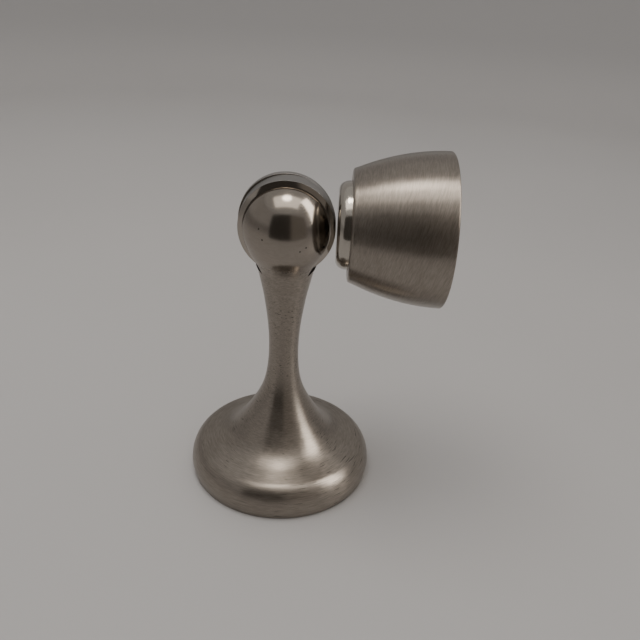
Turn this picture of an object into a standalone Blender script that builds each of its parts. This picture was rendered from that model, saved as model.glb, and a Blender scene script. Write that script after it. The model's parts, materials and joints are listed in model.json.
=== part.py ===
"""Magnetic floor door holder: a floor post with a slotted ball head, and the cup half that a door carries.

The frame: +Z up, the origin on the floor on the post's axis, +X from the ball towards the door.
Lengths below are in millimetres and become metres where a mesh is made.
"""

import math

import bmesh
import bpy

MM = 0.001
GAP = 0.3
FINE_STEPS = 56
SMALL_STEPS = 32

# The post's outside
BASE_RADIUS = 24.0
BASE_FOOT_RADIUS = 23.6
BASE_WIDEST_Z = 2.6
BASE_EDGE_CENTRE_RADIUS = 19.6
BASE_EDGE_HEIGHT = 6.0
BASE_EDGE_TURN = 78.0
WAIST_RADIUS = 3.75
WAIST_Z = 36.0
BALL_RADIUS = 11.0
BALL_Z = 68.5
NECK_Z = 64.8
FLARE_OUTLINE = [(18.3, 9.15), (16.2, 9.9), (14.2, 11.0), (12.5, 12.5), (10.8, 14.6), (8.9, 17.35),
                 (6.55, 21.5), (4.95, 25.5), (4.05, 30.2), (WAIST_RADIUS, WAIST_Z), (4.1, 42.6), (5.15, 50.0),
                 (6.15, 54.8), (6.85, 57.6), (7.9, 59.8), (9.25, 62.1)]

# The slot in the ball, and the discs and pin in it
SLOT_HALF_WIDTH = 4.2
SLOT_RADIUS = 12.3
DISC_Z = 68.7
DISC_RADIUS = 11.3
DISC_BORE = 2.5
DISC_FRONT_Y = -3.9
DISC_REAR_Y = 1.6
DISC_CHAMFER = (1.1, 0.5)
SHIM_X = -0.4
SHIM_RADIUS = 11.45
SHIM_BORE = 2.8
SHIM_FRONT_Y = 1.9
SHIM_REAR_Y = 3.9
PIN_RADIUS = 2.0
PIN_FRONT_Y = -8.2
PIN_REAR_Y = 9.6

# The recess under the base, and what fills it
RECESS_RADIUS = 22.2
RECESS_DEPTH = 4.6
STUD_HOLE_RADIUS = 4.3
STUD_HOLE_TOP_Z = 14.6
FLOOR_PLATE_RADIUS = 19.5
FLOOR_PLATE_THICK = 2.6
SCREW_HOLE_RADIUS = 2.25
SCREW_HEAD_RADIUS = 4.3
FLOOR_SCREW_CIRCLE = 13.0
DOOR_SCREW_CIRCLE = 9.0
SCREW_COUNT = 3
STUD_RADIUS = 4.0
STUD_COLLAR_RADIUS = 6.0
STUD_TOP_Z = 14.0
WASHER_THICK = 1.4
PAD_HEIGHT = 1.2

# The cup half, whose axis runs along +X at CUP_Z. Its places are distances along X from the post's axis
CUP_Z = 69.2
CUP_FACE_X = 14.6
CUP_LENGTH = 22.2
CUP_SMALL_RADIUS = 13.0
CUP_LARGE_RADIUS = 18.1
CUP_CURVE = 2.0
CUP_FACE_ROUND = 0.8
CUP_RIM_ROUND = 0.5
CUP_FRONT_WALL = 2.0
CUP_BARREL_RADIUS = 12.2
CUP_SHOULDER_X = 26.4
CUP_BORE_RADIUS = 15.3
NOSE_RADIUS = 10.3
NOSE_X = 11.6
NOSE_ROUND = 2.0
NOSE_WALL = 1.0
NOSE_FLANGE_RADIUS = 11.8
NOSE_FLANGE_X = 17.0
NOSE_BACK_X = 18.2
MAGNET_RADIUS = 9.0
MAGNET_THICK = 4.5
POLE_THICK = 1.2
ROD_HEAD_RADIUS = 3.2
ROD_HEAD_THICK = 1.2
ROD_RADIUS = 2.0
ROD_END_X = 30.0
SPRING_RADIUS = 4.4
SPRING_WIRE = 0.45
SPRING_TURNS = 4
GUIDE_THICK = 1.6
GUIDE_RADIUS = 15.0
CLIP_RADIUS = 3.6
CLIP_THICK = 0.8
DOOR_PLATE_THICK = 3.9
DOOR_PLATE_RADIUS = 14.9


def clear_scene():
    for item in list(bpy.data.objects):
        bpy.data.objects.remove(item, do_unlink=True)


def material(name, colour, metallic, roughness):
    """A plain Principled BSDF in one colour."""
    made = bpy.data.materials.new(name)
    made.use_nodes = True
    shader = made.node_tree.nodes["Principled BSDF"]
    shader.inputs["Base Color"].default_value = (*colour, 1.0)
    shader.inputs["Metallic"].default_value = metallic
    shader.inputs["Roughness"].default_value = roughness
    return made


def arc(centre, radius, start, stop, points):
    """Points on a circle from one angle to another, in degrees; 0 points outwards and 90 points up."""
    found = []
    for step in range(points):
        angle = math.radians(start + (stop - start) * step / (points - 1))
        found.append((centre[0] + radius * math.cos(angle), centre[1] + radius * math.sin(angle)))
    return found


def smooth_curve(points, parts):
    """A Catmull-Rom curve through the points, with each stretch cut into equal parts."""
    first = (2 * points[0][0] - points[1][0], 2 * points[0][1] - points[1][1])
    last = (2 * points[-1][0] - points[-2][0], 2 * points[-1][1] - points[-2][1])
    padded = [first, *points, last]
    found = []
    for index in range(1, len(padded) - 2):
        a, b, c, d = padded[index - 1:index + 3]
        for step in range(parts):
            t = step / parts
            found.append(tuple(
                0.5 * (2 * b[k] + (c[k] - a[k]) * t + (2 * a[k] - 5 * b[k] + 4 * c[k] - d[k]) * t ** 2
                       + (3 * b[k] - a[k] - 3 * c[k] + d[k]) * t ** 3)
                for k in range(2)))
    found.append(points[-1])
    return found


def turned_mesh(name, outline, steps, closed):
    """Spin an outline of (radius, height) points about Z into one closed body."""
    bm = bmesh.new()
    verts = [bm.verts.new((radius * MM, 0.0, height * MM)) for radius, height in outline]
    edges = [bm.edges.new(pair) for pair in zip(verts, verts[1:])]
    if closed:
        edges.append(bm.edges.new((verts[-1], verts[0])))
    bmesh.ops.spin(bm, geom=verts + edges, cent=(0, 0, 0), axis=(0, 0, 1), angle=2 * math.pi, steps=steps)
    bmesh.ops.remove_doubles(bm, verts=bm.verts, dist=1e-6)
    bmesh.ops.recalc_face_normals(bm, faces=bm.faces)
    mesh = bpy.data.meshes.new(name)
    bm.to_mesh(mesh)
    bm.free()
    mesh.shade_smooth()
    mesh.set_sharp_from_angle(angle=math.radians(32))
    return mesh


def add(name, mesh, look, parent=None):
    item = bpy.data.objects.new(name, mesh)
    bpy.context.scene.collection.objects.link(item)
    if look:
        mesh.materials.append(look)
    if parent:
        item.parent = parent
    return item


def turned(name, outline, look, parent=None, steps=FINE_STEPS, closed=False):
    """A turned piece about its parent's axis. A closed outline never touches the axis, as in a ring."""
    return add(name, turned_mesh(name, outline, steps, closed), look, parent)


def axis_empty(name, place, turn):
    """An empty whose local Z lies along a turned piece's axis."""
    empty = bpy.data.objects.new(name, None)
    bpy.context.scene.collection.objects.link(empty)
    empty.location = [value * MM for value in place]
    empty.rotation_euler = turn
    return empty


def cut(target, cutter):
    """Take the cutter's shape out of the target."""
    cutter.hide_render = True
    cutter.display_type = "WIRE"
    boolean = target.modifiers.new(cutter.name, "BOOLEAN")
    boolean.operation = "DIFFERENCE"
    boolean.object = cutter


def disc_outline(radius, low, high):
    return [(0, high), (radius, high), (radius, low), (0, low)]


def ring_outline(outer, inner, low, high):
    return [(outer, high), (outer, low), (inner, low), (inner, high)]


def screw_holes(plate, circle, face, back, parent):
    """Countersunk holes round a plate's axis, with their wide mouths at the height called face."""
    sink = SCREW_HEAD_RADIUS - SCREW_HOLE_RADIUS
    inward = 1 if back > face else -1
    outline = [(0, face - inward), (SCREW_HEAD_RADIUS + 0.2, face - inward), (SCREW_HEAD_RADIUS + 0.2, face),
               (SCREW_HOLE_RADIUS, face + inward * sink), (SCREW_HOLE_RADIUS, back + inward), (0, back + inward)]
    for index in range(SCREW_COUNT):
        angle = 2 * math.pi * (index + 0.25) / SCREW_COUNT
        cutter = turned(f"cut_{plate.name}_hole_{index + 1}", outline, None, parent, steps=20)
        cutter.location = (circle * MM * math.cos(angle), circle * MM * math.sin(angle), 0)
        cut(plate, cutter)


def post_body(look, slot_axis):
    """The one-piece casting: flared base, stem and ball, slotted across and drilled for the pin."""
    ball = arc((0, BALL_Z), BALL_RADIUS, 90, math.degrees(math.asin((NECK_Z - BALL_Z) / BALL_RADIUS)), 18)
    ball[0] = (0, BALL_Z + BALL_RADIUS)
    edge = []
    for step in range(7):
        angle = math.radians(BASE_EDGE_TURN * (1 - step / 6))
        edge.append((BASE_EDGE_CENTRE_RADIUS + (BASE_RADIUS - BASE_EDGE_CENTRE_RADIUS) * math.cos(angle),
                     BASE_WIDEST_Z + BASE_EDGE_HEIGHT * math.sin(angle)))
    stem = smooth_curve([edge[0], *FLARE_OUTLINE, ball[-1]], 3)[-2::-1]
    under = [(BASE_FOOT_RADIUS, 0), (RECESS_RADIUS, 0), (RECESS_RADIUS, RECESS_DEPTH),
             (STUD_HOLE_RADIUS, RECESS_DEPTH), (STUD_HOLE_RADIUS, STUD_HOLE_TOP_Z), (0, STUD_HOLE_TOP_Z + 2)]
    body = turned("post_body", ball + stem + edge[1:] + under, look)
    slot = turned("cut_slot", disc_outline(SLOT_RADIUS, -SLOT_HALF_WIDTH, SLOT_HALF_WIDTH), None, slot_axis)
    cut(body, slot)
    bore = turned("cut_pin_hole", disc_outline(PIN_RADIUS + GAP, PIN_FRONT_Y - GAP, BALL_RADIUS + 1), None,
                  slot_axis, steps=SMALL_STEPS)
    cut(body, bore)
    return body


def head_discs(look, slot_axis):
    """The steel strike disc and the thin shim disc behind it. Both sit loose on the pin, a little off its centre."""
    width, depth = DISC_CHAMFER
    strike = [(DISC_RADIUS, DISC_REAR_Y), (DISC_RADIUS, DISC_FRONT_Y + depth), (DISC_RADIUS - width, DISC_FRONT_Y),
              (DISC_BORE, DISC_FRONT_Y), (DISC_BORE, DISC_REAR_Y)]
    strike_axis = axis_empty("strike_axis", (0, 0, DISC_Z), (-math.pi / 2, 0, 0))
    turned("strike_disc", strike, look, strike_axis, closed=True)
    shim_axis = axis_empty("shim_axis", (SHIM_X, 0, DISC_Z), (-math.pi / 2, 0, 0))
    turned("shim_disc", ring_outline(SHIM_RADIUS, SHIM_BORE, SHIM_FRONT_Y, SHIM_REAR_Y), look, shim_axis,
           closed=True)
    turned("pivot_pin", disc_outline(PIN_RADIUS, PIN_FRONT_Y, PIN_REAR_Y), look, slot_axis, steps=SMALL_STEPS)


def floor_fixing(steel, rubber):
    """The plate screwed to the floor, the stud that the post screws onto, the washer and the rubber ring."""
    above = FLOOR_PLATE_THICK + GAP
    plate = turned("floor_plate", disc_outline(FLOOR_PLATE_RADIUS, 0, FLOOR_PLATE_THICK), steel)
    screw_holes(plate, FLOOR_SCREW_CIRCLE, FLOOR_PLATE_THICK, 0, None)
    collar_top = above + WASHER_THICK
    stud = [(0, STUD_TOP_Z), (STUD_RADIUS - 0.6, STUD_TOP_Z), (STUD_RADIUS, STUD_TOP_Z - 0.6),
            (STUD_RADIUS, collar_top), (STUD_COLLAR_RADIUS, collar_top), (STUD_COLLAR_RADIUS, above), (0, above)]
    turned("floor_stud", stud, steel, steps=SMALL_STEPS)
    turned("grip_washer", ring_outline(FLOOR_PLATE_RADIUS - 1, STUD_COLLAR_RADIUS + GAP, above, collar_top), rubber,
           closed=True)
    turned("base_pad", ring_outline(RECESS_RADIUS - GAP, FLOOR_PLATE_RADIUS + GAP, 0, PAD_HEIGHT), rubber,
           closed=True)


def cup_radius(distance):
    """The cup's outside radius at a distance behind its small face."""
    share = distance / CUP_LENGTH
    return CUP_SMALL_RADIUS + (CUP_LARGE_RADIUS - CUP_SMALL_RADIUS) * (1 - (1 - share) ** CUP_CURVE)


def cup_shell(look, cup_axis):
    """The bell-shaped cup, bored in steps for the nose's flange, the guide plate and the door plate."""
    door_x = CUP_FACE_X + CUP_LENGTH
    front = CUP_FACE_X + CUP_FRONT_WALL
    hole = NOSE_RADIUS + GAP
    corner = (cup_radius(CUP_FACE_ROUND) - CUP_FACE_ROUND, CUP_FACE_X + CUP_FACE_ROUND)
    outline = arc(corner, CUP_FACE_ROUND, 270, 360, 4)
    stretches = 14
    straight = CUP_LENGTH - CUP_FACE_ROUND - CUP_RIM_ROUND
    for step in range(1, stretches):
        distance = CUP_FACE_ROUND + straight * step / stretches
        outline.append((cup_radius(distance), CUP_FACE_X + distance))
    rim = (CUP_LARGE_RADIUS - CUP_RIM_ROUND, door_x - CUP_RIM_ROUND)
    outline += arc(rim, CUP_RIM_ROUND, 0, 90, 5)
    outline += [(CUP_BORE_RADIUS, door_x), (CUP_BORE_RADIUS, CUP_SHOULDER_X), (CUP_BARREL_RADIUS, CUP_SHOULDER_X),
                (CUP_BARREL_RADIUS, front), (hole, front), (hole, CUP_FACE_X)]
    turned("cup_shell", outline, look, cup_axis, closed=True)


def nose(chrome, steel, dark, cup_axis):
    """The sliding nose: a polished cap over the magnet, its pole plate, and the rod that guides it."""
    inner = NOSE_RADIUS - NOSE_WALL
    face = arc((NOSE_RADIUS - NOSE_ROUND, NOSE_X + NOSE_ROUND), NOSE_ROUND, 270, 360, 6)
    outline = [(0, NOSE_X), *face, (NOSE_RADIUS, NOSE_FLANGE_X), (NOSE_FLANGE_RADIUS, NOSE_FLANGE_X),
               (NOSE_FLANGE_RADIUS, NOSE_BACK_X), (inner, NOSE_BACK_X), (inner, NOSE_X + NOSE_WALL),
               (0, NOSE_X + NOSE_WALL)]
    turned("nose_cap", outline, chrome, cup_axis)
    magnet_x = NOSE_X + NOSE_WALL + GAP
    pole_x = magnet_x + MAGNET_THICK + GAP
    head_x = pole_x + POLE_THICK + GAP
    turned("magnet", disc_outline(MAGNET_RADIUS, magnet_x, magnet_x + MAGNET_THICK), dark, cup_axis)
    turned("pole_plate", disc_outline(MAGNET_RADIUS, pole_x, pole_x + POLE_THICK), steel, cup_axis)
    rod = [(0, head_x), (ROD_HEAD_RADIUS, head_x), (ROD_HEAD_RADIUS, head_x + ROD_HEAD_THICK),
           (ROD_RADIUS, head_x + ROD_HEAD_THICK), (ROD_RADIUS, ROD_END_X - 0.4), (ROD_RADIUS - 0.4, ROD_END_X),
           (0, ROD_END_X)]
    turned("guide_rod", rod, steel, cup_axis, steps=SMALL_STEPS)
    guide_x = CUP_SHOULDER_X + GAP
    clip_x = guide_x + GUIDE_THICK + GAP
    turned("rod_clip", ring_outline(CLIP_RADIUS, ROD_RADIUS + GAP, clip_x, clip_x + CLIP_THICK), steel, cup_axis,
           steps=SMALL_STEPS, closed=True)
    turned("guide_plate", ring_outline(GUIDE_RADIUS, ROD_RADIUS + GAP + 0.1, guide_x, guide_x + GUIDE_THICK), steel,
           cup_axis, closed=True)
    buffer_spring(steel, cup_axis, head_x + SPRING_WIRE, guide_x - GAP - SPRING_WIRE)


def buffer_spring(look, cup_axis, start, stop):
    """A coil of round wire between the pole plate and the guide plate."""
    curve = bpy.data.curves.new("buffer_spring", "CURVE")
    curve.dimensions = "3D"
    curve.bevel_depth = SPRING_WIRE * MM
    curve.bevel_resolution = 1
    curve.use_fill_caps = True
    per_turn = 20
    count = SPRING_TURNS * per_turn + 1
    spline = curve.splines.new("POLY")
    spline.points.add(count - 1)
    for index, point in enumerate(spline.points):
        angle = 2 * math.pi * index / per_turn
        height = start + (stop - start) * index / (count - 1)
        point.co = (SPRING_RADIUS * MM * math.cos(angle), SPRING_RADIUS * MM * math.sin(angle), height * MM, 1)
    add("buffer_spring", curve, look, cup_axis)


def door_plate(steel, cup_axis):
    """The plate screwed to the door, which the cup screws onto."""
    door_x = CUP_FACE_X + CUP_LENGTH
    plate = turned("door_plate", disc_outline(DOOR_PLATE_RADIUS, door_x - DOOR_PLATE_THICK, door_x), steel, cup_axis)
    screw_holes(plate, DOOR_SCREW_CIRCLE, door_x - DOOR_PLATE_THICK, door_x, cup_axis)


def main():
    clear_scene()
    brushed = material("brushed_nickel", (0.56, 0.53, 0.49), 1.0, 0.34)
    polished = material("polished_nickel", (0.66, 0.62, 0.57), 1.0, 0.16)
    chrome = material("chromed_steel", (0.72, 0.69, 0.65), 1.0, 0.08)
    steel = material("zinc_plated_steel", (0.60, 0.60, 0.61), 1.0, 0.38)
    dark = material("magnet_nickel", (0.42, 0.42, 0.43), 1.0, 0.30)
    rubber = material("black_rubber", (0.03, 0.03, 0.03), 0.0, 0.85)
    slot_axis = axis_empty("slot_axis", (0, 0, BALL_Z), (-math.pi / 2, 0, 0))
    cup_axis = axis_empty("cup_axis", (0, 0, CUP_Z), (0, math.pi / 2, 0))
    post_body(brushed, slot_axis)
    head_discs(polished, slot_axis)
    floor_fixing(steel, rubber)
    cup_shell(brushed, cup_axis)
    nose(chrome, steel, dark, cup_axis)
    door_plate(steel, cup_axis)


main()
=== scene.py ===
"""The looks of the magnetic floor door holder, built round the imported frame.

The fine pieces are turned from outlines in millimetres. Where they sit, and how big they are, comes from the
frame.
"""

import json
import math
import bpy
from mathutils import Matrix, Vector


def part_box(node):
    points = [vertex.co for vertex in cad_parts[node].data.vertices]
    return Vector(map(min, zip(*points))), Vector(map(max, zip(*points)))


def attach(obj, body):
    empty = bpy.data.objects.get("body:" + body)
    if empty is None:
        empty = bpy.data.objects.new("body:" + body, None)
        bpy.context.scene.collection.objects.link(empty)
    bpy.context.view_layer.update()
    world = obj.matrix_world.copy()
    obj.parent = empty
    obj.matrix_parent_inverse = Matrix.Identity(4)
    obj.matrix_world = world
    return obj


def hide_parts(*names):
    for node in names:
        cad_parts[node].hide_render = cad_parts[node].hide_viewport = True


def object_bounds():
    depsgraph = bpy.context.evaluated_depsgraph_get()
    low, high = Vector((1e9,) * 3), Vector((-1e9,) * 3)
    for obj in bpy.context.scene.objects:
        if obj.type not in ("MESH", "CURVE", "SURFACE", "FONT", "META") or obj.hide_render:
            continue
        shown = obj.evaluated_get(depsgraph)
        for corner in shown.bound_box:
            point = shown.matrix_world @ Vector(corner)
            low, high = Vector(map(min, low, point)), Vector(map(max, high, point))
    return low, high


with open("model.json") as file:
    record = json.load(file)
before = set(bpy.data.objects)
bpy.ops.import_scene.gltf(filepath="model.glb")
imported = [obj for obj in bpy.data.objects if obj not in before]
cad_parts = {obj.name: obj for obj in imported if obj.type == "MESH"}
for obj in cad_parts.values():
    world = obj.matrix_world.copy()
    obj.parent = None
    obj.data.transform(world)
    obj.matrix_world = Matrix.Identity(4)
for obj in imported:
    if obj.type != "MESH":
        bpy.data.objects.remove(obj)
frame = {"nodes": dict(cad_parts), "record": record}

from types import SimpleNamespace

import bmesh
import bpy
from mathutils import Matrix, Quaternion, Vector

CAD_BOX = [list(corner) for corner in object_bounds()]
MM = 0.001

# How finely a piece is turned: the steps round it, and the angle in degrees past which an edge stays sharp
FINE = 224
PLATE_STEPS = 160
SMALL = 96
HOLE_STEPS = 48
SOFT_EDGE = 34
CRISP_EDGE = 50

# How often a cut is tried, and how far its cutters are nudged each time, in metres
CUT_TRIES = 6
NUDGE = 0.000002


def node_mm(name):
    """A node's lowest and highest corners, in millimetres."""
    low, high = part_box(name)
    return low / MM, high / MM


# Sizes taken from the frame, in millimetres
post_low, post_high = node_mm("post_body")
strike_low, strike_high = node_mm("strike_disc")
shim_low, shim_high = node_mm("shim_disc")
pin_low, pin_high = node_mm("pivot_pin")
cup_low, cup_high = node_mm("cup_shell")
nose_low, nose_high = node_mm("nose_cap")
floor_low, floor_high = node_mm("floor_plate")
door_low, door_high = node_mm("door_plate")
BASE_RADIUS = post_high.x
BALL_Z = (pin_low.z + pin_high.z) / 2
DISC_Z = (strike_low.z + strike_high.z) / 2
DISC_RADIUS = (strike_high.z - strike_low.z) / 2
SHIM_CENTRE = (shim_low + shim_high) / 2
SHIM_RADIUS = (shim_high.z - shim_low.z) / 2
CUP_Z = (cup_low.z + cup_high.z) / 2
CUP_LENGTH = cup_high.x - cup_low.x
CUP_LARGE_RADIUS = (cup_high.z - cup_low.z) / 2
NOSE_FLANGE_RADIUS = (nose_high.z - nose_low.z) / 2
BALL_CENTRE = (0, 0, BALL_Z)
STRIKE_CENTRE = (0, 0, DISC_Z)
SHIM_PLACE = (SHIM_CENTRE.x, 0, SHIM_CENTRE.z)
CUP_CENTRE = (0, 0, CUP_Z)

# Outlines and steps that the frame's boxes don't give. Lengths are in millimetres and turns in degrees
BALL_RADIUS = 11.0
BASE_FOOT_RADIUS = 23.6
BASE_WIDEST_Z = 2.6
BASE_EDGE_CENTRE = 19.6
BASE_EDGE_HEIGHT = 6.0
BASE_EDGE_TURN = 78.0
BASE_EDGE_PARTS = 24
FLARE = [(18.3, 9.15), (16.2, 9.9), (14.2, 11.0), (12.5, 12.5), (10.8, 14.6), (8.9, 17.35), (6.55, 21.5),
         (4.95, 25.5), (4.05, 30.2), (3.75, 36.0), (4.1, 42.6), (5.15, 50.0), (6.15, 54.8), (6.85, 57.6),
         (7.9, 59.8), (9.25, 62.1)]
NECK_Z = 64.8
SLOT_HALF_WIDTH = 4.2
SLOT_RADIUS = 12.3
SLOT_LIP = 0.45
LIP_SHORT = 12.0
LIP_CLEAR = 1.03
BORE_EDGE = 0.2
BORE_FLARE = 0.5
PIN_RADIUS = 2.0
GAP = 0.3
DISC_CHAMFER_WIDTH = 1.1
DISC_CHAMFER_DEPTH = 0.5
DISC_BORE = 2.5
SHIM_BORE = 2.8
RECESS_RADIUS = 22.2
RECESS_DEPTH = 4.6
STUD_HOLE_RADIUS = 4.3
STUD_HOLE_TOP = 14.6
CUP_SMALL_RADIUS = 13.0
CUP_CURVE = 2.0
CUP_PARTS = 60
CUP_FACE_ROUND = 0.8
CUP_RIM_ROUND = 0.5
CUP_FRONT_WALL = 2.0
CUP_BARREL_RADIUS = 12.2
CUP_BORE_RADIUS = 15.3
CUP_SHOULDER_X = 26.4
NOSE_RADIUS = 10.3
NOSE_ROUND = 2.0
NOSE_BULGE = 2.5
NOSE_WALL = 1.0
NOSE_FLANGE_X = 17.0
SCREW_HOLE_RADIUS = 2.25
SCREW_HEAD_RADIUS = 4.3
SCREW_HEAD_SPARE = 0.2
FLOOR_SCREW_CIRCLE = 13.0
DOOR_SCREW_CIRCLE = 9.0
SCREW_COUNT = 3

# The radii of the small rounds on the pieces' edges, in millimetres
FOOT_ROUND = 0.35
RECESS_EDGE_ROUND = 0.2
RECESS_ROUND = 0.3
STUD_EDGE_ROUND = 0.25
DISC_ROUND = 0.08
DISC_CHAMFER_ROUND = 0.06
DISC_BORE_ROUND = 0.15
SHIM_RIM_ROUND = 0.25
SHIM_BORE_ROUND = 0.1
PIN_END_ROUND = 0.4
PIN_FOOT_ROUND = 0.3
PLATE_FACE_ROUND = 0.4
PLATE_BACK_ROUND = 0.3
CUP_BORE_ROUND = 0.25
CUP_SHOULDER_ROUND = 0.2
CUP_HOLE_ROUND = 0.25
CUP_HOLE_BACK_ROUND = 0.1
NOSE_EDGE_ROUND = 0.15
NOSE_INNER_ROUND = 0.3

# The studio, in metres: the cove's flat floor, its curve and its top; and the flag's sides, bottom, top and y
COVE_FLAT = 0.60
COVE_CURVE = 0.45
COVE_TOP = 1.1
COVE_DROP = 0.00005
COVE_STEPS = 96
FLAG = (-0.155, 0.23, 0.004, 0.245, -0.19)
# The flag's painted glow: how strongly it shines at its left and at its right
FLAG_DARK = 0.055
FLAG_PALE = 0.22
WARM = (1.0, 0.93, 0.85)
NEARLY_WHITE = (1.0, 0.97, 0.94)
ROOM_STRENGTH = 0.50

# The plated finishes: their colours, and the tones of the discs' satin rims
NICKEL = (0.30, 0.268, 0.234)
DISC_PLATE = (0.395, 0.36, 0.32)
NOSE_CHROME = (0.45, 0.42, 0.375)
ZINC = (0.50, 0.50, 0.51)
MAGNET_PLATE = (0.34, 0.34, 0.35)
RIM_DARK = (0.25, 0.243, 0.235, 1)
RIM_PALE = (0.35, 0.34, 0.33, 1)
RIM_FADE = 0.06
DISC_RIM_EDGE = 0.02

# The brushing: pairs are lines per millimetre and how often each breaks. A tone is how far the shade changes
HAIR = (4.6, 9.0)
HAIR_TONE = 0.13
BROAD = (1.8, 4.0)
BROAD_TONE = 0.06
BROAD_SHIFT = 40.0
SCRATCHES = (2.6, 5.0)
SCRATCH_SHIFT = 90.0
TURNING = (6.0, 5.0)
MOTTLE_TONE = 0.03
BRUSH_DEPTH = 0.00001
ZINC_DEPTH = 0.00003
RUBBER_DEPTH = 0.00005

# The polish on the ball: its roughness, where it starts and fades in, in millimetres, and what stays satin
POLISH_ROUGH = 0.155
POLISH_FADE = 6.0
POLISH_START = 57.0
SATIN_LEFT = 0.10
BRUSHING_LEFT = 0.28
PIT_SIZE = 0.26
PIT_SHADE = 0.85
BALL_PITS = [(-5.8, -9.2, 70.4), (-4.9, -9.8, 68.1), (4.9, -9.7, 66.8), (3.6, -10.1, 65.9)]

# The camera, in millimetres and radians: where it stands, and where it looks
CAMERA_PLACE = Vector((9.05, -150.6, 121.4))
CAMERA_YAW = -0.0012
CAMERA_PITCH = 0.4744
CAMERA_ROLL = -0.0572
CAMERA_LENS = 38.1
CAMERA_NEAR = 0.01


# ---------------------------------------------------------------- meshes

def arc(centre, radius, start, stop, points):
    """Points on a circle from one angle to another, in degrees; 0 points outwards and 90 points up."""
    found = []
    for step in range(points):
        angle = math.radians(start + (stop - start) * step / (points - 1))
        found.append((centre[0] + radius * math.cos(angle), centre[1] + radius * math.sin(angle)))
    return found


def smooth_curve(points, parts):
    """A Catmull-Rom curve through the points, with each stretch cut into equal parts."""
    first = (2 * points[0][0] - points[1][0], 2 * points[0][1] - points[1][1])
    last = (2 * points[-1][0] - points[-2][0], 2 * points[-1][1] - points[-2][1])
    padded = [first, *points, last]
    found = []
    for index in range(1, len(padded) - 2):
        a, b, c, d = padded[index - 1:index + 3]
        for step in range(parts):
            t = step / parts
            found.append(tuple(
                0.5 * (2 * b[k] + (c[k] - a[k]) * t + (2 * a[k] - 5 * b[k] + 4 * c[k] - d[k]) * t ** 2
                       + (3 * b[k] - a[k] - 3 * c[k] + d[k]) * t ** 3)
                for k in range(2)))
    found.append(points[-1])
    return found


def rounded(points, parts=5, closed=False):
    """An outline whose (radius, height, fillet) corners become arcs. Plain pairs stay as they are."""
    found = []
    count = len(points)
    for index, point in enumerate(points):
        here = Vector(point[:2])
        at_end = not closed and index in (0, count - 1)
        if len(point) < 3 or at_end:
            found.append(tuple(here))
            continue
        before = (Vector(points[index - 1][:2]) - here).normalized()
        after = (Vector(points[(index + 1) % count][:2]) - here).normalized()
        half = before.angle(after) / 2
        reach = point[2] / math.tan(half)
        start = here + before * reach
        stop = here + after * reach
        centre = here + (before + after).normalized() * (point[2] / math.sin(half))
        for step in range(parts + 1):
            along = (start - centre).lerp(stop - centre, step / parts).normalized()
            found.append(tuple(centre + along * point[2]))
    return found


TURNS = {
    "X": Matrix.Rotation(math.pi / 2, 4, "Y"),
    "Y": Matrix.Rotation(-math.pi / 2, 4, "X"),
    "Z": Matrix.Identity(4),
}


def spun(outline, steps, closed=False, join=1e-4):
    """A bmesh of an outline spun round Z, with its doubled points joined and its faces all turned one way."""
    bm = bmesh.new()
    verts = [bm.verts.new((radius, 0.0, height)) for radius, height in outline]
    edges = [bm.edges.new(pair) for pair in zip(verts, verts[1:])]
    if closed:
        edges.append(bm.edges.new((verts[-1], verts[0])))
    bmesh.ops.spin(bm, geom=verts + edges, cent=(0, 0, 0), axis=(0, 0, 1), angle=2 * math.pi, steps=steps)
    bmesh.ops.remove_doubles(bm, verts=bm.verts, dist=join)
    bmesh.ops.recalc_face_normals(bm, faces=bm.faces)
    return bm


def turned(name, outline, axis="Z", place=(0, 0, 0), steps=FINE, closed=False, sharp=SOFT_EDGE):
    """Spin an outline of (radius, distance along the axis) points, in millimetres, into one closed piece."""
    bm = spun(outline, steps, closed)
    bm.transform(Matrix.Scale(MM, 4) @ Matrix.Translation(place) @ TURNS[axis])
    mesh = bpy.data.meshes.new(name)
    bm.to_mesh(mesh)
    bm.free()
    mesh.shade_smooth()
    mesh.set_sharp_from_angle(angle=math.radians(sharp))
    item = bpy.data.objects.new(name, mesh)
    bpy.context.scene.collection.objects.link(item)
    return item


def cut(piece, cutters, sharp=SOFT_EDGE):
    """Take the cutters' shapes out of a piece. If it comes out taller, the cut is nudged and tried again."""
    for cutter in cutters:
        boolean = piece.modifiers.new(cutter.name, "BOOLEAN")
        boolean.operation = "DIFFERENCE"
        boolean.solver = "EXACT"
        boolean.object = cutter
    uncut = max(vertex.co.z for vertex in piece.data.vertices) + NUDGE
    for _ in range(CUT_TRIES):
        bpy.context.view_layer.update()
        shown = piece.evaluated_get(bpy.context.evaluated_depsgraph_get())
        mesh = bpy.data.meshes.new_from_object(shown)
        if max(vertex.co.z for vertex in mesh.vertices) < uncut:
            break
        for cutter in cutters:
            cutter.data.transform(Matrix.Translation((NUDGE, NUDGE, NUDGE)))
    piece.modifiers.clear()
    piece.data = mesh
    for cutter in cutters:
        bpy.data.objects.remove(cutter)
    mesh.shade_smooth()
    mesh.set_sharp_from_angle(angle=math.radians(sharp))


def screw_holes(circle, face, back, axis, place):
    """Cutters for countersunk holes round an axis, with their wide mouths at the distance called face."""
    sink = SCREW_HEAD_RADIUS - SCREW_HOLE_RADIUS
    inward = 1 if back > face else -1
    mouth = SCREW_HEAD_RADIUS + SCREW_HEAD_SPARE
    outline = [(0, face - inward), (mouth, face - inward), (mouth, face),
               (SCREW_HOLE_RADIUS, face + inward * sink), (SCREW_HOLE_RADIUS, back + inward),
               (0, back + inward)]
    cutters = []
    for index in range(SCREW_COUNT):
        angle = 2 * math.pi * (index + 0.25) / SCREW_COUNT
        cutter = turned(f"cutter_{index}", outline, steps=HOLE_STEPS)
        offset = Matrix.Translation((circle * MM * math.cos(angle), circle * MM * math.sin(angle), 0))
        cutter.data.transform(Matrix.Translation(Vector(place) * MM) @ TURNS[axis] @ offset)
        cutters.append(cutter)
    return cutters


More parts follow.
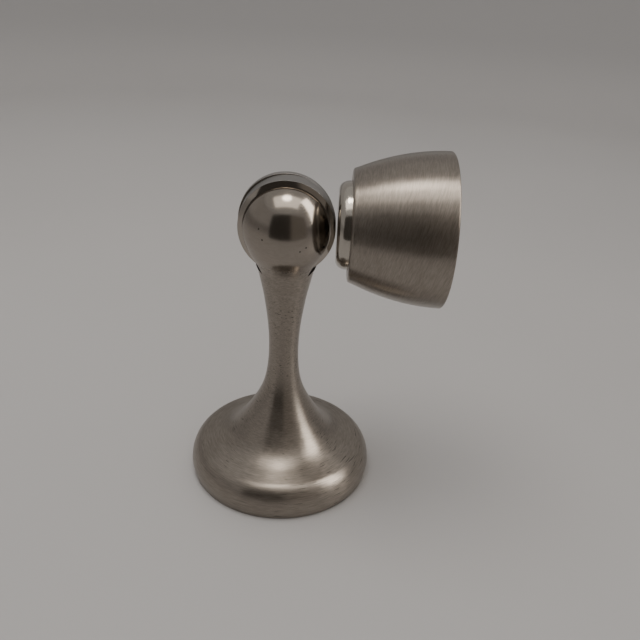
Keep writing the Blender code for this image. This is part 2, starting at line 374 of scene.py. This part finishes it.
def finish_piece(piece, body, slot, look, *nodes):
    """Give a piece its body and its finish, and hide the CAD nodes that it stands for."""
    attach(piece, body)
    if nodes:
        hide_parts(*nodes)
    piece.data.materials.clear()
    piece.data.materials.append(look)


# ---------------------------------------------------------------- materials

class Shader:
    """A material's node tree, with short ways to add nodes and join them."""

    def __init__(self, name):
        self.material = bpy.data.materials.new(name)
        self.material.use_nodes = True
        self.nodes = self.material.node_tree.nodes
        self.links = self.material.node_tree.links
        self.surface = self.nodes["Principled BSDF"]

    def plug(self, socket, value):
        if hasattr(value, "is_output"):
            self.links.new(value, socket)
        else:
            socket.default_value = value

    def set(self, name, value):
        self.plug(self.surface.inputs[name], value)

    def math(self, operation, *values):
        node = self.nodes.new("ShaderNodeMath")
        node.operation = operation
        for socket, value in zip(node.inputs, values):
            self.plug(socket, value)
        return node.outputs[0]

    def vector(self, operation, *values):
        node = self.nodes.new("ShaderNodeVectorMath")
        node.operation = operation
        for socket, value in zip(node.inputs, values):
            self.plug(socket, value)
        return node.outputs[0]

    def scaled(self, vector, amount):
        node = self.nodes.new("ShaderNodeVectorMath")
        node.operation = "SCALE"
        self.plug(node.inputs[0], vector)
        self.plug(node.inputs["Scale"], amount)
        return node.outputs[0]

    def noise(self, vector, scale, detail=2.0, roughness=0.5):
        node = self.nodes.new("ShaderNodeTexNoise")
        self.plug(node.inputs["Vector"], vector)
        node.inputs["Scale"].default_value = scale
        node.inputs["Detail"].default_value = detail
        node.inputs["Roughness"].default_value = roughness
        return node.outputs["Fac"]

    def band(self, value, low, high, to_low=0.0, to_high=1.0):
        """Map a value smoothly from one range to another."""
        node = self.nodes.new("ShaderNodeMapRange")
        node.interpolation_type = "SMOOTHSTEP"
        for socket, number in zip(node.inputs, (value, low, high, to_low, to_high)):
            self.plug(socket, number)
        return node.outputs[0]

    def spread(self, noise, low, high):
        """Map a noise's usual values onto a range."""
        return self.band(noise, 0.3, 0.7, low, high)

    def mix(self, share, first, second):
        node = self.nodes.new("ShaderNodeMix")
        node.data_type = "RGBA"
        self.plug(node.inputs["Factor"], share)
        self.plug(node.inputs["A"], first)
        self.plug(node.inputs["B"], second)
        return node.outputs["Result"]

    def object_place(self):
        return self.nodes.new("ShaderNodeTexCoord").outputs["Object"]

    def bump(self, height, strength, distance):
        node = self.nodes.new("ShaderNodeBump")
        node.inputs["Strength"].default_value = strength
        node.inputs["Distance"].default_value = distance
        self.plug(node.inputs["Height"], height)
        self.set("Normal", node.outputs[0])

    def radial_tangent(self, axis):
        node = self.nodes.new("ShaderNodeTangent")
        node.direction_type = "RADIAL"
        node.axis = axis
        self.set("Tangent", node.outputs[0])


def lathe_place(shader, axis, place, slope, slant=0.0):
    """Where a point is on a turned piece.

    That is its cosine and sine round the axis, and in millimetres its radius, its distance along the axis and a
    run that grows steadily along the outline. A slant leans the brushing.
    """
    local = shader.vector("SUBTRACT", shader.object_place(), tuple(Vector(place) * MM))
    split = shader.nodes.new("ShaderNodeSeparateXYZ")
    shader.plug(split.inputs[0], shader.scaled(local, 1 / MM))
    along = split.outputs["XYZ".index(axis)]
    across = [split.outputs[index] for index in range(3) if "XYZ"[index] != axis]
    square = shader.math("ADD", shader.math("MULTIPLY", across[0], across[0]),
                         shader.math("MULTIPLY", across[1], across[1]))
    radius = shader.math("MAXIMUM", shader.math("SQRT", square), 0.01)
    cosine = shader.math("DIVIDE", across[0], radius)
    sine = shader.math("DIVIDE", across[1], radius)
    run = shader.math("ADD", along, shader.math("MULTIPLY", radius, slope))
    run = shader.math("ADD", run, shader.math("MULTIPLY", across[1], slant))
    return SimpleNamespace(cosine=cosine, sine=sine, radius=radius, along=along, run=run)


def streaks(shader, where, lines, breaks, detail=2.0, shift=0.0):
    """Noise drawn out round the axis: so many lines per millimetre, each broken so often on its way round."""
    joined = shader.nodes.new("ShaderNodeCombineXYZ")
    shader.plug(joined.inputs[0], shader.math("MULTIPLY", where.cosine, breaks))
    shader.plug(joined.inputs[1], shader.math("MULTIPLY", where.sine, breaks))
    shader.plug(joined.inputs[2], shader.math("ADD", shader.math("MULTIPLY", where.run, lines), shift))
    return shader.noise(joined.outputs[0], 1.0, detail, 0.55)


def pits(shader, places, size):
    """One where a small pit is, else nought. Places are in millimetres."""
    found = 0.0
    for place in places:
        gap = shader.nodes.new("ShaderNodeVectorMath")
        gap.operation = "DISTANCE"
        shader.plug(gap.inputs[0], shader.object_place())
        gap.inputs[1].default_value = Vector(place) * MM
        inside = shader.band(gap.outputs["Value"], 0.6 * size * MM, size * MM, 1.0, 0.0)
        found = shader.math("MAXIMUM", found, inside)
    return found


def brushed_nickel(name, axis, place, slope, rough, stretch, slant=0.0, scratched=0.0, polish_from=None,
                   pit_places=()):
    """Satin nickel brushed round an axis. Above polish_from, in millimetres, it gives way to a polish."""
    shader = Shader(name)
    where = lathe_place(shader, axis, place, slope, slant)
    hair = streaks(shader, where, *HAIR)
    broad = streaks(shader, where, *BROAD, shift=BROAD_SHIFT)
    cloud = shader.noise(shader.object_place(), 110.0, 3.0)
    grit = shader.noise(shader.object_place(), 5200.0)
    satin = 1.0
    if polish_from is not None:
        satin = shader.band(where.along, polish_from, polish_from + POLISH_FADE, 1.0, SATIN_LEFT)
    fine_tone = shader.spread(hair, -HAIR_TONE, HAIR_TONE)
    shade = shader.math("ADD", fine_tone, shader.spread(broad, -BROAD_TONE, BROAD_TONE))
    shade = shader.math("MULTIPLY", shade, shader.math("MAXIMUM", satin, BRUSHING_LEFT))
    shade = shader.math("ADD", shade, shader.band(cloud, 0.35, 0.65, -MOTTLE_TONE, MOTTLE_TONE))
    shade = shader.math("ADD", shade, shader.spread(grit, -MOTTLE_TONE, MOTTLE_TONE))
    if scratched:
        lines = shader.band(streaks(shader, where, *SCRATCHES, 1.0, SCRATCH_SHIFT), 0.64, 0.70)
        patchy = shader.band(shader.noise(shader.object_place(), 75.0, 1.0), 0.46, 0.58)
        lines = shader.math("MULTIPLY", shader.math("MULTIPLY", lines, patchy), scratched)
        shade = shader.math("SUBTRACT", shade, shader.math("MULTIPLY", lines, satin))
    if pit_places:
        dots = pits(shader, pit_places, PIT_SIZE)
        shade = shader.math("SUBTRACT", shade, shader.math("MULTIPLY", dots, PIT_SHADE))
    shader.set("Base Color", shader.scaled(NICKEL, shader.math("ADD", 1.0, shade)))
    shader.set("Metallic", 1.0)
    worn = shader.math("MULTIPLY", satin, rough - POLISH_ROUGH)
    worn = shader.math("ADD", worn, shader.math("MULTIPLY", satin, shader.spread(hair, -0.03, 0.03)))
    worn = shader.math("ADD", worn, shader.band(cloud, 0.35, 0.65, POLISH_ROUGH - 0.015, POLISH_ROUGH + 0.02))
    shader.set("Roughness", worn)
    shader.set("Anisotropic", shader.math("MULTIPLY", satin, stretch))
    shader.set("Anisotropic Rotation", 0.25)
    shader.radial_tangent(axis)
    relief = shader.math("ADD", shader.math("MULTIPLY", hair, satin), shader.math("MULTIPLY", grit, 0.25))
    shader.bump(relief, 0.22, BRUSH_DEPTH)
    return shader.material


def polished_metal(name, axis, place, colour, rough, marks, rim_radius=None):
    """Bright plate with faint turning marks and a little haze. Past rim_radius, in millimetres, it's satin."""
    shader = Shader(name)
    where = lathe_place(shader, axis, place, 1.0)
    hair = streaks(shader, where, *TURNING)
    cloud = shader.noise(shader.object_place(), 160.0, 3.0)
    grit = shader.noise(shader.object_place(), 4200.0)
    shade = shader.math("ADD", 1.0, shader.spread(hair, -0.06 * marks, 0.04 * marks))
    tone = shader.scaled(colour, shade)
    worn = shader.math("ADD", shader.spread(hair, rough, rough + 0.06 * marks),
                       shader.band(cloud, 0.4, 0.7, 0.0, 0.03))
    relief = shader.math("MULTIPLY", hair, marks)
    if rim_radius:
        rim = shader.band(where.radius, rim_radius - RIM_FADE, rim_radius)
        worn = shader.math("ADD", worn, shader.math("MULTIPLY", rim, shader.spread(grit, 0.22, 0.34)))
        tone = shader.mix(rim, tone, shader.mix(grit, RIM_DARK, RIM_PALE))
        relief = shader.math("ADD", relief, shader.math("MULTIPLY", rim, grit))
    shader.set("Base Color", tone)
    shader.set("Metallic", 1.0)
    shader.set("Roughness", worn)
    shader.bump(relief, 0.15, BRUSH_DEPTH)
    return shader.material


def plated_steel(name, colour, rough):
    """Bright zinc plate: a soft spangle and small stains."""
    shader = Shader(name)
    spangle = shader.noise(shader.object_place(), 900.0, 3.0)
    stain = shader.noise(shader.object_place(), 140.0, 4.0)
    stained = shader.band(stain, 0.35, 0.6, 0.86, 1.0)
    shade = shader.math("MULTIPLY", shader.spread(spangle, 0.9, 1.06), stained)
    shader.set("Base Color", shader.scaled(colour, shade))
    shader.set("Metallic", 1.0)
    shader.set("Roughness", shader.spread(spangle, rough - 0.06, rough + 0.1))
    shader.bump(spangle, 0.2, ZINC_DEPTH)
    return shader.material


def black_rubber(name):
    """Matt black rubber with a fine grain."""
    shader = Shader(name)
    grit = shader.noise(shader.object_place(), 2600.0, 3.0)
    tone = shader.mix(shader.band(grit, 0.4, 0.7), (0.018, 0.018, 0.019, 1), (0.045, 0.044, 0.043, 1))
    shader.set("Base Color", tone)
    shader.set("Roughness", shader.spread(grit, 0.62, 0.85))
    shader.bump(grit, 0.4, RUBBER_DEPTH)
    return shader.material


# ---------------------------------------------------------------- the post half

def post_outline():
    """The post from its top down to where its base meets the floor, then up inside the recess."""
    lowest = math.degrees(math.asin((NECK_Z - BALL_Z) / BALL_RADIUS))
    ball = arc((0, BALL_Z), BALL_RADIUS, 90, lowest, 60)
    ball[0] = (0, BALL_Z + BALL_RADIUS)
    edge = []
    for step in range(BASE_EDGE_PARTS + 1):
        angle = math.radians(BASE_EDGE_TURN * (1 - step / BASE_EDGE_PARTS))
        edge.append((BASE_EDGE_CENTRE + (BASE_RADIUS - BASE_EDGE_CENTRE) * math.cos(angle),
                     BASE_WIDEST_Z + BASE_EDGE_HEIGHT * math.sin(angle)))
    stem = smooth_curve([edge[0], *FLARE, ball[-1]], 10)[-2::-1]
    under = rounded([edge[-1], (BASE_FOOT_RADIUS, 0, FOOT_ROUND), (RECESS_RADIUS, 0, RECESS_EDGE_ROUND),
                     (RECESS_RADIUS, RECESS_DEPTH, RECESS_ROUND),
                     (STUD_HOLE_RADIUS, RECESS_DEPTH, STUD_EDGE_ROUND),
                     (STUD_HOLE_RADIUS, STUD_HOLE_TOP), (0, STUD_HOLE_TOP + 2)])
    return ball + stem + edge[1:-1] + under


def build_post(look):
    """The casting, with the discs' slot cut into its ball and the pin's hole opened at the back."""
    body = turned("post_casting", post_outline())
    lip_height = SLOT_HALF_WIDTH + SLOT_LIP
    lip_radius = math.sqrt((BALL_RADIUS - SLOT_LIP) ** 2 - lip_height ** 2)
    lip_end = math.degrees(math.atan2(lip_height, lip_radius))
    lip = arc((lip_radius, lip_height), SLOT_LIP, -90, lip_end - LIP_SHORT, 8)
    past_ball = (lip[-1][0] * LIP_CLEAR, lip[-1][1] * LIP_CLEAR)
    half = [(0, SLOT_HALF_WIDTH), *lip, past_ball, (SLOT_RADIUS - 0.6, SLOT_HALF_WIDTH),
            (SLOT_RADIUS, SLOT_HALF_WIDTH)]
    outline = half + [(radius, -width) for radius, width in reversed(half)]
    slot = turned("slot_cutter", outline, "Y", BALL_CENTRE)
    mouth = BALL_RADIUS + BORE_FLARE
    bore_radius = PIN_RADIUS + GAP
    hole_edge = math.sqrt(BALL_RADIUS ** 2 - bore_radius ** 2)
    bore_outline = [(0, pin_low.y - GAP), (bore_radius, pin_low.y - GAP),
                    (bore_radius, hole_edge - BORE_EDGE), (bore_radius + BORE_FLARE, mouth), (0, mouth)]
    bore = turned("bore_cutter", bore_outline, "Y", BALL_CENTRE, SMALL)
    cut(body, [slot, bore])
    finish_piece(body, "post", "brushed_nickel", look, "post_body")


def build_discs(strike_look, shim_look, pin_look):
    """The strike disc with its chamfered edge, the thin shim disc behind it, and the pin through both."""
    front, rear = strike_low.y, strike_high.y
    strike = rounded([(DISC_RADIUS, rear, DISC_ROUND),
                      (DISC_RADIUS, front + DISC_CHAMFER_DEPTH, DISC_CHAMFER_ROUND),
                      (DISC_RADIUS - DISC_CHAMFER_WIDTH, front, DISC_ROUND),
                      (DISC_BORE, front, DISC_BORE_ROUND), (DISC_BORE, rear, DISC_BORE_ROUND)], closed=True)
    strike_disc = turned("strike_disc_turned", strike, "Y", STRIKE_CENTRE, closed=True, sharp=CRISP_EDGE)
    finish_piece(strike_disc, "strike", "polished_nickel", strike_look, "strike_disc")
    front, rear = shim_low.y, shim_high.y
    shim = rounded([(SHIM_RADIUS, rear, SHIM_RIM_ROUND), (SHIM_RADIUS, front, DISC_ROUND),
                    (SHIM_BORE, front, SHIM_BORE_ROUND), (SHIM_BORE, rear, SHIM_BORE_ROUND)], closed=True)
    shim_disc = turned("shim_disc_turned", shim, "Y", SHIM_PLACE, closed=True, sharp=CRISP_EDGE)
    finish_piece(shim_disc, "shim", "polished_nickel", shim_look, "shim_disc")
    pin = rounded([(0, pin_high.y), (PIN_RADIUS, pin_high.y, PIN_END_ROUND),
                   (PIN_RADIUS, pin_low.y, PIN_FOOT_ROUND), (0, pin_low.y)])
    pivot = turned("pivot_pin_turned", pin, "Y", BALL_CENTRE, SMALL, sharp=CRISP_EDGE)
    finish_piece(pivot, "post", "polished_nickel", pin_look, "pivot_pin")


def build_floor_plate(look):
    """The plate under the base, with its countersunk screw holes."""
    top, radius = floor_high.z, floor_high.x
    outline = rounded([(0, top), (radius, top, PLATE_FACE_ROUND), (radius, 0, PLATE_BACK_ROUND), (0, 0)])
    plate = turned("floor_plate_pressed", outline, steps=PLATE_STEPS)
    cut(plate, screw_holes(FLOOR_SCREW_CIRCLE, top, 0, "Z", (0, 0, 0)))
    finish_piece(plate, "post", "zinc_plated_steel", look, "floor_plate")


# ---------------------------------------------------------------- the door half

def cup_radius(distance):
    """The cup's outside radius at a distance behind its small face."""
    share = distance / CUP_LENGTH
    return CUP_SMALL_RADIUS + (CUP_LARGE_RADIUS - CUP_SMALL_RADIUS) * (1 - (1 - share) ** CUP_CURVE)


def build_cup(look):
    """The bell-shaped cup, hollow for the nose in front and for the plates behind."""
    face_x, door_x = cup_low.x, cup_high.x
    front = face_x + CUP_FRONT_WALL
    hole = NOSE_RADIUS + GAP
    corner = (cup_radius(CUP_FACE_ROUND) - CUP_FACE_ROUND, face_x + CUP_FACE_ROUND)
    outline = arc(corner, CUP_FACE_ROUND, 270, 345, 10)
    straight = CUP_LENGTH - CUP_FACE_ROUND - CUP_RIM_ROUND
    for step in range(1, CUP_PARTS):
        distance = CUP_FACE_ROUND + straight * step / CUP_PARTS
        outline.append((cup_radius(distance), face_x + distance))
    outline += arc((CUP_LARGE_RADIUS - CUP_RIM_ROUND, door_x - CUP_RIM_ROUND), CUP_RIM_ROUND, 0, 90, 12)
    outline += rounded([outline[-1], (CUP_BORE_RADIUS, door_x, CUP_BORE_ROUND),
                        (CUP_BORE_RADIUS, CUP_SHOULDER_X),
                        (CUP_BARREL_RADIUS, CUP_SHOULDER_X, CUP_SHOULDER_ROUND), (CUP_BARREL_RADIUS, front),
                        (hole, front, CUP_HOLE_BACK_ROUND), (hole, face_x, CUP_HOLE_ROUND),
                        (corner[0], face_x)])[1:-1]
    cup = turned("cup_spun", outline, "X", CUP_CENTRE, closed=True)
    finish_piece(cup, "door_half", "brushed_nickel", look, "cup_shell")


def build_nose(look):
    """The drawn cap of the nose: a flat face, a bulging corner and a flange that keeps it in the cup."""
    inner = NOSE_RADIUS - NOSE_WALL
    front, back = nose_low.x, nose_high.x
    face = [(NOSE_RADIUS + (radius - NOSE_ROUND), front + NOSE_BULGE * (1 + height / NOSE_ROUND))
            for radius, height in arc((0, 0), NOSE_ROUND, 270, 360, 20)]
    outline = [(0, front), *face] + rounded([
        face[-1], (NOSE_RADIUS, NOSE_FLANGE_X, NOSE_EDGE_ROUND),
        (NOSE_FLANGE_RADIUS, NOSE_FLANGE_X, NOSE_EDGE_ROUND),
        (NOSE_FLANGE_RADIUS, back, NOSE_EDGE_ROUND), (inner, back, NOSE_EDGE_ROUND),
        (inner, front + NOSE_WALL, NOSE_INNER_ROUND), (0, front + NOSE_WALL)])[1:]
    cap = turned("nose_cap_drawn", outline, "X", CUP_CENTRE)
    finish_piece(cap, "nose", "chromed_steel", look, "nose_cap")


def build_door_plate(look):
    """The plate in the cup's wide end, with its countersunk screw holes."""
    inner, outer = door_low.x, door_high.x
    radius = (door_high.z - door_low.z) / 2
    outline = rounded([(0, outer), (radius, outer, PLATE_BACK_ROUND), (radius, inner, PLATE_FACE_ROUND),
                       (0, inner)])
    plate = turned("door_plate_pressed", outline, "X", CUP_CENTRE, steps=PLATE_STEPS)
    cut(plate, screw_holes(DOOR_SCREW_CIRCLE, inner, outer, "X", CUP_CENTRE))
    finish_piece(plate, "door_half", "zinc_plated_steel", look, "door_plate")


# ---------------------------------------------------------------- the studio

def soft_light(name, place, aim, size, power, shape="ELLIPSE", roll=0.0, colour=WARM):
    """A soft light, in metres, that shines at a point and is rolled round that line, in radians."""
    lamp = bpy.data.lights.new(name, "AREA")
    lamp.shape = shape
    lamp.size, lamp.size_y = size
    lamp.energy = power
    lamp.color = colour
    item = bpy.data.objects.new(name, lamp)
    item.location = place
    item.rotation_mode = "QUATERNION"
    facing = (Vector(aim) - Vector(place)).to_track_quat("-Z", "Y")
    item.rotation_quaternion = facing @ Quaternion((0, 0, 1), roll)
    item.visible_camera = False
    bpy.context.scene.collection.objects.link(item)
    return item


def cove_material():
    """Pale matt paper: lightest on the floor, greyer up the wall. High on the wall it glows with painted light,
    though it is no lamp.
    """
    shader = Shader("pale_cove_painted_glow")
    place = shader.object_place()
    split = shader.nodes.new("ShaderNodeSeparateXYZ")
    shader.plug(split.inputs[0], place)
    cloud = shader.noise(place, 7.0, 3.0)
    floor_tone = shader.mix(cloud, (0.54, 0.527, 0.518, 1), (0.58, 0.566, 0.556, 1))
    wall_share = shader.band(split.outputs["Z"], 0.0, 0.06)
    shader.set("Base Color", shader.mix(wall_share, floor_tone, (0.48, 0.47, 0.465, 1)))
    shader.set("Roughness", shader.spread(cloud, 0.38, 0.46))
    shader.set("Specular IOR Level", 0.35)
    # Painted light: from 0.14 m up to 0.32 m the wall's glow rises to a strength of 0.18, though the wall is no
    # lamp
    shader.set("Emission Color", (*NEARLY_WHITE, 1))
    shader.set("Emission Strength", shader.band(split.outputs["Z"], 0.14, 0.32, 0.0, 0.18))
    return shader.material


def glow_material(name, left, right):
    """An even glow that passes from one strength to another across a card."""
    shader = Shader(name)
    split = shader.nodes.new("ShaderNodeSeparateXYZ")
    shader.plug(split.inputs[0], shader.object_place())
    shader.set("Base Color", (0.0, 0.0, 0.0, 1))
    shader.set("Specular IOR Level", 0.0)
    shader.set("Emission Color", (1.0, 0.90, 0.80, 1))
    shader.set("Emission Strength", shader.band(split.outputs["X"], 0.02, 0.06, left, right))
    return shader.material


def build_cove():
    """A round floor whose edge curves up into a wall, so that every side looks onto the same pale paper."""
    outline = [(0, 0), (COVE_FLAT, 0), *arc((COVE_FLAT, COVE_CURVE), COVE_CURVE, -90, 0, 24)[1:],
               (COVE_FLAT + COVE_CURVE, COVE_TOP)]
    bm = spun(outline, COVE_STEPS, join=1e-5)
    bmesh.ops.reverse_faces(bm, faces=bm.faces)
    mesh = bpy.data.meshes.new("cove")
    bm.to_mesh(mesh)
    bm.free()
    mesh.shade_smooth()
    cove = bpy.data.objects.new("cove", mesh)
    cove.location.z = CAD_BOX[0][2] - COVE_DROP
    bpy.context.scene.collection.objects.link(cove)
    mesh.materials.append(cove_material())


def build_flag():
    """A dark card in front of the object, seen only in its reflections, as a photographer's flag is. Its faint
    glow, paler to the right, is painted light that the metal reflects.
    """
    low_x, high_x, low_z, high_z, y = FLAG
    corners = [(low_x, y, low_z), (high_x, y, low_z), (high_x, y, high_z), (low_x, y, high_z)]
    mesh = bpy.data.meshes.new("flag")
    mesh.from_pydata(corners, [], [(0, 1, 2, 3)])
    flag = bpy.data.objects.new("flag", mesh)
    bpy.context.scene.collection.objects.link(flag)
    mesh.materials.append(glow_material("flag_painted_glow", FLAG_DARK, FLAG_PALE))
    flag.visible_camera = False
    flag.visible_diffuse = False
    flag.visible_shadow = False


def build_room():
    """Even soft light from all round."""
    world = bpy.data.worlds.new("room")
    world.use_nodes = True
    bpy.context.scene.world = world
    sky = world.node_tree.nodes["Background"]
    sky.inputs["Color"].default_value = (*NEARLY_WHITE, 1)
    sky.inputs["Strength"].default_value = ROOM_STRENGTH


def build_studio():
    """The cove, the flag and the lights. Core, glow and strip show in reflections, and the key never does."""
    build_cove()
    build_flag()
    build_room()
    middle = (0.01, 0, 0.06)
    key = soft_light("key", place=(-0.08, 0.0, 0.62), aim=middle, size=(0.45, 0.45), power=1.6,
                     colour=NEARLY_WHITE)
    key.visible_glossy = False
    core = soft_light("top_core", place=(-0.006, -0.022, 0.25), aim=(-0.006, -0.022, 0), size=(0.058, 0.050),
                      power=0.062)
    glow = soft_light("top_glow", place=(-0.004, -0.052, 0.252), aim=(-0.004, -0.052, 0), size=(0.19, 0.105),
                      power=0.110, shape="RECTANGLE")
    strip = soft_light("strip_right", place=(0.36, -0.05, 0.33), aim=middle, size=(0.17, 0.42), power=1.25,
                       shape="RECTANGLE", roll=-0.25)
    for light in (core, glow, strip):
        light.visible_diffuse = False


def build_camera():
    """The camera looks along the yaw and pitch, and leans by the roll."""
    level = math.cos(CAMERA_PITCH)
    forward = Vector((math.sin(CAMERA_YAW) * level, math.cos(CAMERA_YAW) * level, -math.sin(CAMERA_PITCH)))
    right = Vector((math.cos(CAMERA_YAW), -math.sin(CAMERA_YAW), 0))
    down = forward.cross(right)
    leaned_right = math.cos(CAMERA_ROLL) * right + math.sin(CAMERA_ROLL) * down
    leaned_down = math.cos(CAMERA_ROLL) * down - math.sin(CAMERA_ROLL) * right
    lens = bpy.data.cameras.new("camera")
    lens.lens = CAMERA_LENS
    lens.clip_start = CAMERA_NEAR
    item = bpy.data.objects.new("camera", lens)
    turn = Matrix((leaned_right, -leaned_down, -forward)).transposed().to_4x4()
    item.matrix_world = Matrix.Translation(CAMERA_PLACE * MM) @ turn
    bpy.context.scene.collection.objects.link(item)
    bpy.context.scene.camera = item


def dress_inner_nodes(looks):
    """The inner pieces keep their CAD shapes and get the same finishes, by the record's slots."""
    for part in frame["record"]["subparts"]:
        node = frame["nodes"][part["node"]]
        if part["material_slot"] in looks and not node.hide_render:
            node.data.materials.clear()
            node.data.materials.append(looks[part["material_slot"]])


def main():
    build_camera()
    build_studio()
    post_look = brushed_nickel("post_nickel", "Z", (0, 0, 0), slope=-1.0, rough=0.32, stretch=0.60,
                               scratched=0.5, polish_from=POLISH_START, pit_places=BALL_PITS)
    cup_look = brushed_nickel("cup_nickel", "X", CUP_CENTRE, slope=1.0, rough=0.36, stretch=0.85, slant=-0.3)
    strike_look = polished_metal("strike_nickel", "Y", STRIKE_CENTRE, DISC_PLATE, rough=0.07, marks=0.6,
                                 rim_radius=DISC_RADIUS - DISC_RIM_EDGE)
    shim_look = polished_metal("shim_nickel", "Y", SHIM_PLACE, DISC_PLATE, rough=0.16, marks=1.0,
                               rim_radius=SHIM_RADIUS - DISC_RIM_EDGE)
    pin_look = polished_metal("pin_nickel", "Y", BALL_CENTRE, DISC_PLATE, rough=0.2, marks=1.0)
    nose_look = polished_metal("nose_chrome", "X", CUP_CENTRE, NOSE_CHROME, rough=0.13, marks=0.4)
    steel = plated_steel("zinc_plate", ZINC, rough=0.34)
    magnet_look = plated_steel("magnet_plate", MAGNET_PLATE, rough=0.28)
    rubber = black_rubber("rubber")
    build_post(post_look)
    build_discs(strike_look, shim_look, pin_look)
    build_floor_plate(steel)
    build_cup(cup_look)
    build_nose(nose_look)
    build_door_plate(steel)
    dress_inner_nodes({"zinc_plated_steel": steel, "magnet_nickel": magnet_look, "black_rubber": rubber})


main()
